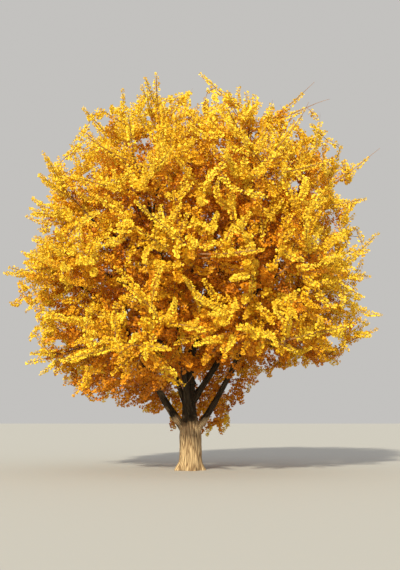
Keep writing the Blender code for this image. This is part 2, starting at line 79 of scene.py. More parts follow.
# Crown: its reach from the trunk at each height, towards -X and towards +X
CROWN_HEIGHTS = (1.4, 2.0, 2.6, 3.2, 4.4, 5.6, 7.0, 8.4, 9.6, 10.8, 11.6, 12.1, 12.25)
CROWN_LEFT = (1.2, 3.1, 4.3, 4.95, 5.2, 5.8, 5.5, 5.2, 4.6, 4.1, 2.6, 1.2, 0.0)
CROWN_RIGHT = (1.0, 1.8, 3.6, 5.45, 5.8, 5.75, 5.85, 5.45, 5.5, 5.0, 3.0, 1.4, 0.0)
CROWN_MIDDLE = 5.5  # the outline is drawn in about this height
BACK_FROM = 1  # the crown's back starts this far behind the trunk
BACK_LEVEL = 2.3  # below this height the crown's back keeps the reach that it has there
LEAST_REACH = 0.5
UNDERSIDE = 2.2  # height of the lowest tips, on the trunk's left
UNDERSIDE_LEAST = 1.35
UNDERSIDE_RISE = 1.25  # how much higher they are on its right
UNDERSIDE_RISE_FROM = -0.3
UNDERSIDE_RISE_OVER = 1.8
UNDERSIDE_DROP = 0.45  # how far it falls with each metre behind the trunk
UNDERSIDE_DROP_MIDDLE = 0.5
UNDERSIDE_DROP_WIDTH = 1.6
UNDERSIDE_ARCH = 0.45  # how much higher it is over the fork
UNDERSIDE_ARCH_RADIUS = 1.5

# The pitch of young shoots at each height, and the radius about the trunk within which they stand up
GROWTH_HEIGHTS = (2.0, 4.0, 6.5, 9.0, 11.0)
GROWTH_PITCHES = (-38, -8, 22, 55, 82)
UPRIGHT_RADIUS = 1.6
UPRIGHT_PITCH = 85

# Trunk
TRUNK_HEIGHTS = (0.0, 0.12, 0.35, 0.75, 1.1, 1.35, 1.6, 2.0, 2.6)
TRUNK_RADII = (0.48, 0.4, 0.35, 0.33, 0.33, 0.285, 0.23, 0.2, 0.165)
ROOT_LOBES = 5
ROOT_LOBE_DEPTH = 0.16
ROOT_LOBE_FADE = 0.4  # height by which the root lobes have died away
ROOT_LOBE_POWER = 1.5
ROOT_LOBE_TURN = 0.6
TRUNK_SWAY = 0.03
TRUNK_SWAY_WAVES = 2.1  # radians per metre of height
TRUNK_SIDES = 128
TRUNK_RINGS = 200
TRUNK_SMOOTHING = 0.1
TRUNK_FURROWS = 0.085  # their depth, as a share of the radius
FLUTE_DEPTH = 0.05
FLUTES_FROM = 0.3
FLUTES_OVER = 0.6
SWELL_DEPTH = 0.025

# Limbs
GAP = 0.0003  # between solids that meet
TIP_RADIUS = 0.04
TAPER_POWER = 0.85
STRAIGHT_STEP = 0.06  # of a limb's or stem's run, before it bends
LIMB_POINTS = 7
MEASURED_POINTS = 40  # along a new limb
BOUGH_LIFT = 0.25  # turns a bough's end up from the way shoots grow
CHILD_TO_PARENT = 0.62
SIDE_LIMB_PLACES = 31  # along a parent, and where among them a side limb may leave it
SIDE_LIMB_RANGE = (6, 28)
SIDE_LIMB_LEAVE = (0.45, 0.75)  # shares of its parent's heading and its own run
SIDE_LIMB_LIMIT = 0.085
SIDE_LIMB_MINIMUM = 0.7  # length
SIDE_LIMB_ANGLES = (18, 42, 80)  # degrees from its parent: least, best and most
ANGLE_COST = 0.03  # metres of length for each degree off the best angle
DROP_FROM = -0.3  # a limb that ends this far below its start goes down
DROP_COST = 5
LIMB_SPACING = 0.05
ODD_WAY = (0.31, 0.92, 0.24)  # no limb or twig runs this way
# How far along a limb its collar reaches: on the trunk, on a limb, and on the leader
TRUNK_COLLAR = 0.465
LIMB_COLLAR = 0.168
LEADER_COLLAR = 0.128
LEAVING_LENGTH = 0.55  # by here a limb has left its parent
LIMB_RING_EVERY = 0.045
LIMB_SIDES = (28, 18)  # of a thick limb, and of the rest
THICK_LIMB = 0.09
LIMB_FURROWS = 0.1
COLLAR_SWELL = 0.45
KNUCKLES = ((0.06, 4.7), (0.04, 11.3))  # depths in radii, and radians per metre
KNUCKLE_PHASE = 300  # radians per metre of a limb's first radius
PATH_POINTS = 200

# Foliage masses, as the solids have them
TWIGS_PER_MASS = 5
STEM_BACK = 0.95  # from a mass's centre back to where its bough ends
STEM_AHEAD = 0.55
STEM_STEPS = 100
STEM_RADII = (0.036, 0.02)
STEM_ROOM = 0.1
TWIG_RADII = (0.024, 0.011)
TWIG_LENGTHS = (1.9, 1.7, 1.5, 1.3, 1.1, 0.9, 0.7)  # the longest that fits is taken
TWIG_SAMPLES = 14
TWIG_FIRST = 0.2  # where the lowest one leaves the stem
TWIG_SPREAD = math.radians(66)
TWIG_SPREAD_RANGE = (0.85, 1.1)
TWIG_LAST_SPREAD = 0.25  # share of that for the one at the stem's tip
TWIG_ROLL = 0.3
TWIG_BEND = 0.7
TWIG_SWING = 0.4
TWIG_BOW = 0.12
TWIG_TURNS = (0.0, 0.5, -0.5, 1.0, -1.0)  # tried in turn, in radians about the stem
TWIG_SPACING = 0.02
SPACE_MARGIN = 0.012
GOLDEN_ANGLE = math.pi * (3 - math.sqrt(5))

# Smooth fields over space, each a sum of plane waves, and the seeds of what is random
WAVES = 9
WAVE_RANGE = (0.7, 1.4)  # of the wavelength
FIRST_SEED = 100  # of the masses' twigs
SHOOT_SEED = 7
DRIFT_SEEDS = (11, 12, 13)
LUMP_SEED = 21
GAP_SEED = 31

# Finer twigs, one to each place of an even spread through the crown
FINE_SPACING = 0.72
FINE_CANDIDATES = 24000
FINE_SHARE = 0.93  # how far the outline is drawn in for them
FINE_LEAST = 0.25
TOO_NEAR = 100  # cost of a place nearer than that
TURN_COST = 0.5  # share of its length, for a twig square to its carrier
FINE_LEAVE = (0.6, 0.8)  # shares of its carrier's heading and its own run
FINE_GROWTH = 0.8
FINE_POINTS = 6
FINE_RADII = (0.011, 0.005)
SITE_EVERY = 0.1  # along what carries them, where they may leave it
TWIG_POINTS = 5

# Leafy shoots, at the ends of twigs and in tufts on limbs
SHOOT_EVERY = 0.1
SHOOT_SPACING = (0.28, 0.42)  # at the crown's outline, and deep within it
SHOOT_LENGTHS = (0.75, 1.6)
SHOOT_DEEP = 0.5  # of the reach, from the outline in
SHOOT_SPREAD = (math.radians(25), math.radians(75))
SHOOT_LAST_SPREAD = 0.2  # share of that for the one at a twig's tip
SHOOT_ROLL = 0.5
SHOOT_KEEP = 0.25  # share of its first heading that it keeps
SHOOT_TRIMS = (1.0, 0.85, 0.7, 0.55, 0.42)
SHOOT_TESTS = (0.15, 1, 7)  # first, last and number of its places that have to fit
SHOOT_GAP_AT = 0.8
SHOOT_MIDDLE = 0.65
SHOOT_RADII = (0.008, 0.003)
SHOOT_JITTER = 0.13
SHOOT_DRIFT = 0.5  # how far neighbours lean together off the way shoots grow
DRIFT_WAVELENGTH = 2.6
HANG = 0.2  # how far below the twigs' underside shoots may hang
LOW_BACK_LEVEL = 2.9  # BACK_LEVEL for the finer twigs and shoots, which fill out the low back
LOW_BACK_DROP = 0.72  # how much lower they come behind the trunk, about this place along X
LOW_BACK_MIDDLE = 1.4
LOW_BACK_WIDTH = 0.8
FORK_OPENING = 0.6  # how much higher shoots end in front of the fork, to show it
FORK_OPENING_WIDTH = 0.9
FORK_OPENING_BACK = 0.5
OUTLINE_SOFTNESS = 0.13  # share of the reach over which outer shoots thin out
LUMP_WAVELENGTH = 1.9
LUMP_DEPTH = 0.03
END_FROM = 0.2  # share of a twig at which its own leaves start
END_PAST = 1.12
END_STEPS = 40
END_TEST = 0.6  # place along it that keeps to the next share of the outline
END_SHARE = 1.1
GAP_WAVELENGTH = 1.6
GAP_LEVEL = -0.95
TUFT_EVERY = 0.16
TUFT_LENGTHS = (0.12, 0.42)
TUFT_LEAN = 0.3
TUFT_JITTER = 0.3
TUFT_SHARE = 0.75
TUFT_LOWEST = 2.9

# Light on the shoots, and their leaves
LIGHT_AT = 0.7  # where on a shoot the light is taken
LIGHT_RISE = 0.7
COVER_RANGE = (0.15, 3.5)  # how far off, and how near its line to the light, one covers another
COVER_RADIUS = 0.32
COVER_FADE = 2.2
LIGHT_BATCH = 200
SPUR_EVERY = (0.082, 0.046)  # deep in the crown, and open to the light
SPURS_LEAST = 3
SPUR_JITTER = (0.2, 0.9)
FIRST_SPUR = 0.06
LEAVES_PER_SPUR = 4
FAN_TURN = 1.3
LEAF_ROLL = 0.35
LEAF_TILTS = (math.radians(38), math.radians(100))
LEAF_TIP_TILT = 0.55  # less tilt at a shoot's tip
LEAF_DROOP = 0.22
LEAF_FACING = (0.5, 0.45, 0.62)  # outward, upward and at random
LEAF_SIZES = (0.75, 1.15)
LEAF_TIP_SIZE = 0.4  # less size there
AXIS_SOFTNESS = 0.5
LEAF_LENGTHS = (0.165, 0.13)  # deep in the crown, and open to the light
LEAVES_PER_PIECE = 36000
BARE_FROM = 9.0  # above this height shoots on the right lose their last leaves
BARE_SHARE = 0.35
BARE_FIRST_X = 3.0  # bare leaders stand from this far out
BARE_LENGTHS = (0.35, 0.9)
BARE_RISE = 0.35
BARE_JITTER = 0.25
BARE_OVER = 2.5  # height over which the loss grows to its share, and place and width on X
BARE_X_FROM = -1
BARE_X_OVER = 3
LEAF_ROUGHNESS = 0.55
LEAF_SPECULAR = 0.3
TINT_SPAN = 4.9  # how many tints lie between full light and none
TINT_JITTER = 0.7
# Leaf tints, palest first. The deeper ones go to shoots that are less open to the light: painted shade,
# for the crown's own shadow on its inner leaves.
LEAF_TINTS = {
    "bright": (0.97, 0.70, 0.045),
    "lemon": (0.94, 0.64, 0.032),
    "gold": (0.91, 0.565, 0.02),
    "honey": (0.87, 0.465, 0.015),
    "deep_gold": (0.80, 0.335, 0.009),
    "amber": (0.62, 0.215, 0.006),
}
# Across, along and above the blade, as shares of a leaf's length: two at the foot of its stalk, the
# blade's foot, a corner and a lobe, the cleft, and the other lobe and corner
LEAF_SHAPE = np.array(
    [[-0.035, 0, 0], [0.035, 0, 0], [0, 0.4, 0.02], [-0.36, 0.7, 0.08]]
    + [[-0.2, 1.0, 0.03], [0, 0.87, -0.03], [0.2, 1.0, 0.03], [0.36, 0.7, 0.08]]
)
LEAF_FACES = np.array([[0, 1, 2], [2, 4, 3], [2, 5, 4], [2, 6, 5], [2, 7, 6]])

# Bark: the colours of ridges and furrows, and the heights between which painted shade darkens it above
# the fork, for the crown's shadow on the wood
PALE_RIDGE = (0.77, 0.56, 0.31)
PALE_FURROW = (0.24, 0.15, 0.075)
TWIG_RIDGE = (0.46, 0.25, 0.11)
TWIG_FURROW = (0.22, 0.11, 0.05)
# painted shade: what the bark's colour is multiplied by, high above the fork, for the crown's shadow
UPPER_SHADE = 0.085
SHADE_HEIGHTS = (1.25, 1.75)
SHADE_PATCHES = 3.2
SHADE_UNEVENNESS = 2.2
BARK_DRAWN_OUT = 0.07
BARK_NOISE = {"Scale": 1.0, "Detail": 6, "Roughness": 0.62, "Distortion": 0.4}
CRACK_SCALE = 0.8
CRACK_WIDTH = 0.22
PALE_HEIGHTS = (0.08, 0.55)
BUMP_STRENGTH = 0.9
BARK_ROUGHNESS = 0.9
BARK_SPECULAR = 0.2
# For each kind of wood: ridge and furrow colours, fineness, painted shade above the fork, depth of the
# bump
BARKS = {
    "trunk_bark": (PALE_RIDGE, PALE_FURROW, 34, UPPER_SHADE, 0.02),
    "limb_bark": (PALE_RIDGE, PALE_FURROW, 40, UPPER_SHADE, 0.01),
    "twig_bark": (TWIG_RIDGE, TWIG_FURROW, 60, 1.0, 0.002),
}
# Two sets of braided ridges: share of the relief, waves round the limb, reach, rate and phase of their
# wander along it, and reach, rate and turns of a finer one
RIDGES = ((0.45, 5, 1.1, 2.1, 0.7, 0.6, 6.3, 0), (0.4, 8, -1.3, 1.7, 2.1, 0.5, 9.1, 2))
RIDGE_POWER = 0.7
SWELL_SHARE = 0.15

Tier = namedtuple("Tier", "name count first_azimuth height reach_share")
TIERS = (
    Tier("low", 6, 8, 3.55, 0.74),
    Tier("middle", 8, 2, 5.9, 0.76),
    Tier("shoulder", 7, -8, 8.35, 0.74),
    Tier("top", 5, 30, 10.45, 0.5),
    Tier("heart", 2, 200, 7.0, 0.2),
)
HEART_STAGGER = 1.5

MainLimb = namedtuple("MainLimb", "name height azimuth pitch radius mass")
MAIN_LIMBS = (
    MainLimb("leader", 2.6, 0, 90, 0.15, "top_1"),
    MainLimb("left_limb", 1.02, 182, 47, 0.135, "middle_5"),
    MainLimb("right_limb", 0.98, -4, 50, 0.115, "middle_1"),
    MainLimb("right_leader", 1.98, 6, 52, 0.11, "shoulder_1"),
    MainLimb("left_leader", 1.72, 168, 66, 0.085, "top_3"),
    MainLimb("front_limb", 1.62, 262, 50, 0.1, "shoulder_6"),
    MainLimb("back_limb", 1.5, 88, 46, 0.1, "shoulder_3"),
)

Mass = namedtuple("Mass", "name centre seed")
Limb = namedtuple("Limb", "name parent points radii")


def unit(vectors):
    return vectors / np.linalg.norm(vectors, axis=-1, keepdims=True)


def bell(offset, width):
    """1 where the offset is none, and less by the square of its share of the width."""
    return np.exp(-((offset / width) ** 2))


def heading(azimuth, pitch):
    """Unit vectors of an azimuth from +X towards +Y and a pitch above level, both in degrees."""
    a, p = np.radians(azimuth), np.radians(pitch)
    return np.stack([np.cos(a) * np.cos(p), np.sin(a) * np.cos(p), np.sin(p) + 0 * a], axis=-1)


def crown_reach(towards_right, height):
    """Reach of the crown on a heading whose cosine from +X is given, between its two side outlines."""
    left = np.interp(height, CROWN_HEIGHTS, CROWN_LEFT, 0, 0)
    right = np.interp(height, CROWN_HEIGHTS, CROWN_RIGHT, 0, 0)
    return (left + right + (right - left) * towards_right) / 2


def underside(x, y):
    """Height of the crown's underside over each place on the ground."""
    rise = UNDERSIDE_RISE * np.clip((x - UNDERSIDE_RISE_FROM) / UNDERSIDE_RISE_OVER, 0, 1)
    middle = bell(x - UNDERSIDE_DROP_MIDDLE, UNDERSIDE_DROP_WIDTH)
    drop = UNDERSIDE_DROP * np.maximum(y, 0) * middle
    arch = UNDERSIDE_ARCH * bell(np.hypot(x, y), UNDERSIDE_ARCH_RADIUS)
    return np.maximum(UNDERSIDE + rise - drop + arch, UNDERSIDE_LEAST)


def in_crown(points, share=1.0, lift=0.0, back_level=BACK_LEVEL):
    """For each point, whether it lies within the crown's outline drawn in about its middle by a share,
    and above its underside, raised by a lift."""
    x, y, z = np.moveaxis(points, -1, 0)
    radius = np.hypot(x, y)
    level = np.where(z > CROWN_MIDDLE, CROWN_MIDDLE + (z - CROWN_MIDDLE) / share, z)
    level = np.where(y > BACK_FROM, np.maximum(level, back_level), level)
    return (radius < crown_reach(x / radius, level) * share) & (z > underside(x, y) + lift)


def growth(points):
    """The way shoots grow at each place: up at the top, level at mid height, drooping at the foot."""
    x, y, z = np.moveaxis(points, -1, 0)
    pitch = np.interp(z, GROWTH_HEIGHTS, GROWTH_PITCHES)
    pitch = pitch + (UPRIGHT_PITCH - pitch) * bell(np.hypot(x, y), UPRIGHT_RADIUS)
    return heading(np.degrees(np.arctan2(y, x)), pitch)


def foliage_masses():
    """One mass for each place of each tier, spaced evenly round the crown's axis."""
    masses = []
    for tier in TIERS:
        for index in range(tier.count):
            outward = heading(tier.first_azimuth + 360 * index / tier.count, 0)
            reach = crown_reach(outward[0], tier.height) * tier.reach_share
            centre = outward * reach + [0, 0, tier.height]
            if tier.name == "heart":
                centre[2] += HEART_STAGGER * (2 * index - 1)
            masses.append(Mass(f"{tier.name}_{index + 1}", centre, FIRST_SEED + len(masses)))
    return masses


def curve_between(start, start_heading, end, end_heading, count):
    """Cubic Bezier through both ends on both headings, with handles a third of the span long. A
    short straight step comes before it."""
    first = start + start_heading * STRAIGHT_STEP
    reach = np.linalg.norm(end - first) / 3
    a, b = first + start_heading * reach, end - end_heading * reach
    t = np.linspace(0, 1, count - 1)[:, None]
    curve = (1 - t) ** 3 * first + 3 * (1 - t) ** 2 * t * a + 3 * (1 - t) * t**2 * b + t**3 * end
    return np.concatenate([start[None], curve])


def distances(path):
    """Distance along a path to each of its points."""
    steps = np.linalg.norm(np.diff(path[:, :3], axis=0), axis=1)
    return np.concatenate([[0], np.cumsum(steps)])


def even_samples(path, count):
    """Rows of a path (places, or places and radii) at even distances along it."""
    run = distances(path)
    at = np.linspace(0, run[-1], count)
    return np.stack([np.interp(at, run, column) for column in path.T], axis=1)


def taper(path, first, last):
    """Radii that fall from first to last along a path."""
    run = distances(path)
    return first + (last - first) * (run / run[-1]) ** TAPER_POWER


def bough_end(mass):
    """Where a mass's bough ends, and its heading there."""
    outward = growth(mass.centre)
    return mass.centre - outward * STEM_BACK, unit(outward + [0, 0, BOUGH_LIFT])


def stem_space(mass):
    """The room that a mass's stem needs, as a limb to measure from."""
    start = bough_end(mass)[0]
    end = mass.centre + growth(mass.centre) * STEM_AHEAD
    return Limb(mass.name + "_stem", None, np.array([start, end]), np.full(2, STEM_ROOM))


def distance_to_limb(points, limb):
    """Least distance from any of the points to the limb's surface, taken as a chain of cones."""
    first, last = limb.points[:-1], limb.points[1:]
    run = last - first
    offset = points[:, None, :] - first[None]
    share = np.clip((offset * run).sum(-1) / (run * run).sum(-1), 0, 1)
    gap = np.linalg.norm(offset - share[..., None] * run, axis=-1)
    radii = limb.radii[:-1] + share * (limb.radii[1:] - limb.radii[:-1])
    return float((gap - radii).min())


def trunk_axis(height):
    return TRUNK_SWAY * np.sin(np.asarray(height) * TRUNK_SWAY_WAVES)


def trunk_limb():
    """The trunk as a limb, to measure from."""
    heights = np.array(TRUNK_HEIGHTS)
    points = np.stack([trunk_axis(heights), np.zeros(len(heights)), heights], axis=1)
    return Limb("trunk", None, points, np.array(TRUNK_RADII))


def main_limbs(masses, trunk):
    """The limbs that leave the trunk. The leader carries on from its flat top."""
    by_name = {mass.name: mass for mass in masses}
    limbs = []
    for spec in MAIN_LIMBS:
        end, end_heading = bough_end(by_name[spec.mass])
        start = np.array([float(trunk_axis(spec.height)), 0, spec.height])
        if spec.name == "leader":
            start[2] += GAP
        leave = heading(spec.azimuth, spec.pitch)
        path = curve_between(start, leave, end, end_heading, LIMB_POINTS + 1)
        limbs.append(Limb(spec.name, trunk, path, taper(path, spec.radius, TIP_RADIUS)))
    return limbs


def side_limb(mass, parents, others):
    """The shortest limb to the mass that leaves a parent at a natural angle and clears the rest."""
    least, usual, most = SIDE_LIMB_ANGLES
    keep, turn = SIDE_LIMB_LEAVE
    end, end_heading = bough_end(mass)
    best = None
    for parent in parents:
        places = even_samples(np.column_stack([parent.points, parent.radii]), SIDE_LIMB_PLACES)
        for i in range(*SIDE_LIMB_RANGE):
            start, width = places[i, :3], places[i, 3]
            tangent = unit(places[i + 1, :3] - places[i - 1, :3])
            run = end - start
            length = np.linalg.norm(run)
            angle = math.degrees(math.acos(np.clip(tangent @ run / length, -1, 1)))
            cost = length + ANGLE_COST * abs(angle - usual) + (DROP_COST if run[2] < DROP_FROM else 0)
            if not least < angle < most or length < SIDE_LIMB_MINIMUM or (best and cost >= best[0]):
                continue
            first = min(CHILD_TO_PARENT * width, SIDE_LIMB_LIMIT)
            leave = unit(keep * tangent + turn * run / length)
            path = curve_between(start, leave, end, end_heading, LIMB_POINTS)
            radii = taper(path, first, min(TIP_RADIUS, first))
            samples = even_samples(np.column_stack([path, radii]), MEASURED_POINTS)
            if not clears(samples, parent, others):
                continue
            best = (cost, Limb(mass.name + "_bough", parent, path, radii))
    return best[1]


def clears(samples, parent, others):
    """Whether a new limb stays off every other limb, and off its parent once it has left it."""
    left_parent = np.linalg.norm(samples[:, :3] - samples[0, :3], axis=1) > LEAVING_LENGTH
    for other in others:
        for sample in samples[left_parent] if other is parent else samples:
            if distance_to_limb(sample[None, :3], other) < sample[3] + LIMB_SPACING:
                return False
    return True


def all_limbs(masses):
    trunk = trunk_limb()
    limbs = main_limbs(masses, trunk)
    ends = {spec.mass: limb for spec, limb in zip(MAIN_LIMBS, limbs)}
    for mass in masses:
        if mass.name in ends:
            continue
        stems = [stem_space(other) for other in masses if other is not mass]
        limb = side_limb(mass, limbs, [trunk, *limbs, *stems])
        limbs.append(limb)
        ends[mass.name] = limb
    return trunk, limbs, ends


def keeps_to_space(points, mass, masses):
    """Whether points lie in the mass's own space: nearer its centre than any other's, in the crown."""
    for other in masses:
        if other is mass:
            continue
        across = unit(other.centre - mass.centre)
        middle = (other.centre + mass.centre) / 2
        if ((points - middle) @ across).max() > -SPACE_MARGIN:
            return False
    return bool(np.all(in_crown(points)))


def any_normal(vectors):
    return unit(np.cross(vectors, ODD_WAY))


def beside(axes, angles):
    """A direction square to each axis, turned about it by an angle: Rodrigues' rotation."""
    vectors = any_normal(axes)
    c, s = np.cos(angles)[..., None], np.sin(angles)[..., None]
    dot = (axes * vectors).sum(-1, keepdims=True)
    return vectors * c + np.cross(axes, vectors) * s + axes * dot * (1 - c)


def mass_stem(mass, bough):
    """The stem carries on from its bough's tip past the mass's centre, bending to the way shoots grow."""
    leave = unit(bough.points[-1] - bough.points[-2])
    start = bough.points[-1] + leave * GAP
    outward = growth(mass.centre)
    return curve_between(start, leave, mass.centre + outward * STEM_AHEAD, outward, 4)


def twig_path(root, leave, length):
    """A twig that leaves its stem on one heading and bends to the way shoots grow where it ends."""
    bent = unit(leave + TWIG_BEND * growth(root + leave * length))
    end = root + unit(leave + TWIG_SWING * bent) * length
    middle = (root + end) / 2 + (leave - bent) * length * TWIG_BOW
    return np.array([root, middle, end])


def longest_twig(root, leave, mass, masses, limbs):
    for length in TWIG_LENGTHS:
        path = twig_path(root, leave, length)
        points = even_samples(path, TWIG_SAMPLES)
        clear = (distance_to_limb(points, limb) > TWIG_RADII[0] + TWIG_SPACING for limb in limbs)
        if keeps_to_space(points, mass, masses) and all(clear):
            return path
    return None


def mass_twigs(mass, stem, masses, limbs):
    """Twigs spiral up the stem by the golden angle. Each is turned to where it can be longest, and left
    out if it fits nowhere."""
    random = np.random.default_rng(mass.seed)
    twigs = []
    for index in range(TWIGS_PER_MASS):
        share = TWIG_FIRST + (1 - TWIG_FIRST) * index / (TWIGS_PER_MASS - 1)
        place = even_samples(stem, STEM_STEPS + 1)
        at = int(round(share * STEM_STEPS))
        root = place[at]
        tangent = unit(place[min(at + 2, STEM_STEPS)] - place[max(at - 2, 0)])
        first_roll = GOLDEN_ANGLE * index + random.uniform(-TWIG_ROLL, TWIG_ROLL)
        spread = TWIG_SPREAD * random.uniform(*TWIG_SPREAD_RANGE)
        if index == TWIGS_PER_MASS - 1:
            spread *= TWIG_LAST_SPREAD
        best = None
        for turn in TWIG_TURNS:
            side = beside(tangent, np.array(first_roll + turn))
            leave = unit(tangent * math.cos(spread) + side * math.sin(spread))
            path = longest_twig(root, leave, mass, masses, limbs)
            if path is not None and (best is None or distances(path)[-1] > distances(best)[-1]):
                best = path
        if best is not None:
            twigs.append(best)
    return twigs


def spread_out(points, spacing, random, first=None):
    """Indices of points, taken in random order, that stand their spacing from all taken before. Points
    marked first are taken before the rest."""
    order = random.permutation(len(points))
    if first is not None:
        order = order[np.argsort(~first[order], kind="stable")]
    spacing = np.broadcast_to(spacing, len(points))
    kept = np.empty((len(points), 3))
    chosen = []
    for index in order:
        gaps = kept[: len(chosen)] - points[index]
        if len(chosen) and (gaps * gaps).sum(1).min() < spacing[index] ** 2:
            continue
        kept[len(chosen)] = points[index]
        chosen.append(index)
    return np.array(chosen)


def waves(points, wavelength, seed):
    """A smooth field over space, of about unit spread: plane waves in several directions, added up."""
    random = np.random.default_rng(seed)
    headings = unit(random.normal(size=(WAVES, 3)))
    ways = headings * 2 * math.pi / (wavelength * random.uniform(*WAVE_RANGE, (WAVES, 1)))
    return np.sin(points @ ways.T + random.uniform(0, 2 * math.pi, WAVES)).sum(1) * math.sqrt(2 / WAVES)


def drift(points):
    """The lean that neighbouring shoots share."""
    return np.stack([waves(points, DRIFT_WAVELENGTH, seed) for seed in DRIFT_SEEDS], axis=1)


def crown_depth(points):
    """0 at the crown's side outline, 1 at its axis."""
    x, y, z = np.moveaxis(points, -1, 0)
    radius = np.hypot(x, y)
    return np.clip(1 - radius / np.maximum(crown_reach(x / radius, z), LEAST_REACH), 0, 1)


def twig_room(points, share, lift=0.0):
    """As in_crown, for finer twigs, which come lower behind the trunk."""
    x, y, _ = np.moveaxis(points, -1, 0)
    middle = bell(x - LOW_BACK_MIDDLE, LOW_BACK_WIDTH)
    drop = LOW_BACK_DROP * middle * np.clip(y - BACK_FROM, 0, 1)
    return in_crown(points, share, lift - drop, LOW_BACK_LEVEL)


def shoot_room(points, share):
    """As twig_room, for shoots: they hang a little below the underside, but not in front of the fork."""
    x, y, _ = np.moveaxis(points, -1, 0)
    opening = FORK_OPENING * bell(x, FORK_OPENING_WIDTH) * (y < FORK_OPENING_BACK)
    return twig_room(points, share, opening - HANG)


def crown_places(random):
    """Places spread evenly through the crown."""
    top = CROWN_HEIGHTS[-1]
    side = max(CROWN_LEFT + CROWN_RIGHT)
    points = random.uniform((-side, -side, CROWN_HEIGHTS[0]), (side, side, top), (FINE_CANDIDATES, 3))
    points = points[twig_room(points, FINE_SHARE)]
    points = points[waves(points, GAP_WAVELENGTH, GAP_SEED) > GAP_LEVEL]
    return points[spread_out(points, FINE_SPACING, random)]


def fine_twigs(carriers, places):
    """Grow a twig to each place, nearest first. Each leaves whichever stem or twig can reach its place
    soonest without turning back, and then carries twigs itself."""
    sites, tangents = [], []
    for path in carriers:
        rows = even_samples(path, max(int(distances(path)[-1] / SITE_EVERY), 3))
        sites.append(rows)
        tangents.append(unit(np.gradient(rows, axis=0)))
    sites, tangents = np.concatenate(sites), np.concatenate(tangents)
    keep, turn = FINE_LEAVE
    nearest = np.array([((sites - place) ** 2).sum(1).min() for place in places])
    twigs = []
    for place in places[np.argsort(nearest)]:
        run = place - sites
        length = np.linalg.norm(run, axis=1)
        forward = (run * tangents).sum(1) / length
        cost = length * (1 + TURN_COST - TURN_COST * forward) + np.where(length < FINE_LEAST, TOO_NEAR, 0)
        best = cost.argmin()
        if length[best] < FINE_LEAST:
            continue
        ahead = run[best] / length[best]
        leave = unit(keep * tangents[best] + turn * ahead)
        arrive = unit(ahead + FINE_GROWTH * growth(place))
        path = curve_between(sites[best], leave, place, arrive, FINE_POINTS)
        twigs.append(path)
        rows = even_samples(path, max(int(length[best] / SITE_EVERY), 3))
        sites = np.concatenate([sites, rows[1:]])
        tangents = np.concatenate([tangents, unit(np.gradient(rows, axis=0))[1:]])
    return twigs


Shoots = namedtuple("Shoots", "root leave end length")


def shoot_places(shoots, t):
    """Places and headings on each shoot at its share t: the heading swings evenly from leave to end."""
    t = t[..., None]
    swing = shoots.end - shoots.leave
    run = shoots.leave * t + swing * t**2 / 2
    return shoots.root + shoots.length[:, None] * run, unit(shoots.leave + swing * t)


def places_at(shoots, share):
    """The place on every shoot at the same share of it."""
    return shoot_places(shoots, np.full(len(shoots.root), share))[0]


def shoot_paths(shoots):
    """Even places along every shoot."""
    steps = np.linspace(0, 1, TWIG_POINTS)
    return np.stack([places_at(shoots, share) for share in steps], axis=1)


def take(shoots, index):
    return Shoots(*(column[index] for column in shoots))


def shoot_sites(carriers, every):
    """Places and headings every so far along each stem and twig, and the order of each along its own."""
    roots, tangents, order = [], [], []
    for path in carriers:
        length = distances(path)[-1]
        count = max(int(length / every), 2)
        places = even_samples(path, 4 * count + 1)
        ahead = unit(np.gradient(places, axis=0))
        roots.append(places[2::4][:count])
        tangents.append(ahead[2::4][:count])
        order.append(np.arange(count))
        roots.append(places[-1:])
        tangents.append(ahead[-1:])
        order.append(np.array([-1]))
    return np.concatenate(roots), np.concatenate(tangents), np.concatenate(order)


def leafy_shoots(carriers, random):
    """Shoots spiral up every stem and twig, and are cut back to the longest that the crown has room
    for. How near its outline each may come is drawn by lot, so that the crown is ragged, not clipped."""
    root, tangent, order = shoot_sites(carriers, SHOOT_EVERY)
    count = len(root)
    roll = GOLDEN_ANGLE * order + random.uniform(-SHOOT_ROLL, SHOOT_ROLL, count)
    spread = random.uniform(*SHOOT_SPREAD, count)
    spread[order < 0] *= SHOOT_LAST_SPREAD
    side = beside(tangent, roll)
    leave = tangent * np.cos(spread)[:, None] + side * np.sin(spread)[:, None]
    jitter = random.normal(0, SHOOT_JITTER, (count, 3))
    end = unit(growth(root) + SHOOT_KEEP * leave + SHOOT_DRIFT * drift(root) + jitter)
    length = random.uniform(*SHOOT_LENGTHS, count)
    share = 1 - OUTLINE_SOFTNESS * random.uniform(0, 1, count) ** 0.5
    share -= LUMP_DEPTH * (1 + waves(root, LUMP_WAVELENGTH, LUMP_SEED))
    kept = np.zeros(count, bool)
    final = length.copy()
    for trim in SHOOT_TRIMS:
        trial = Shoots(root, leave, end, length * trim)
        fits = np.ones(count, bool)
        for t in np.linspace(*SHOOT_TESTS):
            fits &= shoot_room(places_at(trial, t), share)
        newly = fits & ~kept
        final[newly] = length[newly] * trim
        kept |= newly
    grown = Shoots(root, leave, end, final)
    kept &= waves(places_at(grown, SHOOT_GAP_AT), GAP_WAVELENGTH, GAP_SEED) > GAP_LEVEL
    shoots = take(grown, kept)
    middles = places_at(shoots, SHOOT_MIDDLE)
    near, deep = SHOOT_SPACING
    spacing = near + (deep - near) * np.clip(crown_depth(middles) / SHOOT_DEEP, 0, 1)
    return take(shoots, spread_out(middles, spacing, random, order[kept] < 0))


def leafy_ends(carriers):
    """Shoots that run on along the outer part of every stem and twig, a little past its tip."""
    rows = np.stack([even_samples(path, END_STEPS + 1) for path in carriers])
    first = round(END_FROM * END_STEPS)
    leave = unit(rows[:, first + 1] - rows[:, first])
    end = unit(rows[:, -1] - rows[:, -2])
    run = rows[:, -1] - rows[:, first]
    length = np.linalg.norm(run, axis=1) / np.linalg.norm((leave + end) / 2, axis=1)
    end = unit(2 * run / length[:, None] - leave)
    shoots = Shoots(rows[:, first], leave, end, length * END_PAST)
    return take(shoots, shoot_room(places_at(shoots, END_TEST), END_SHARE))


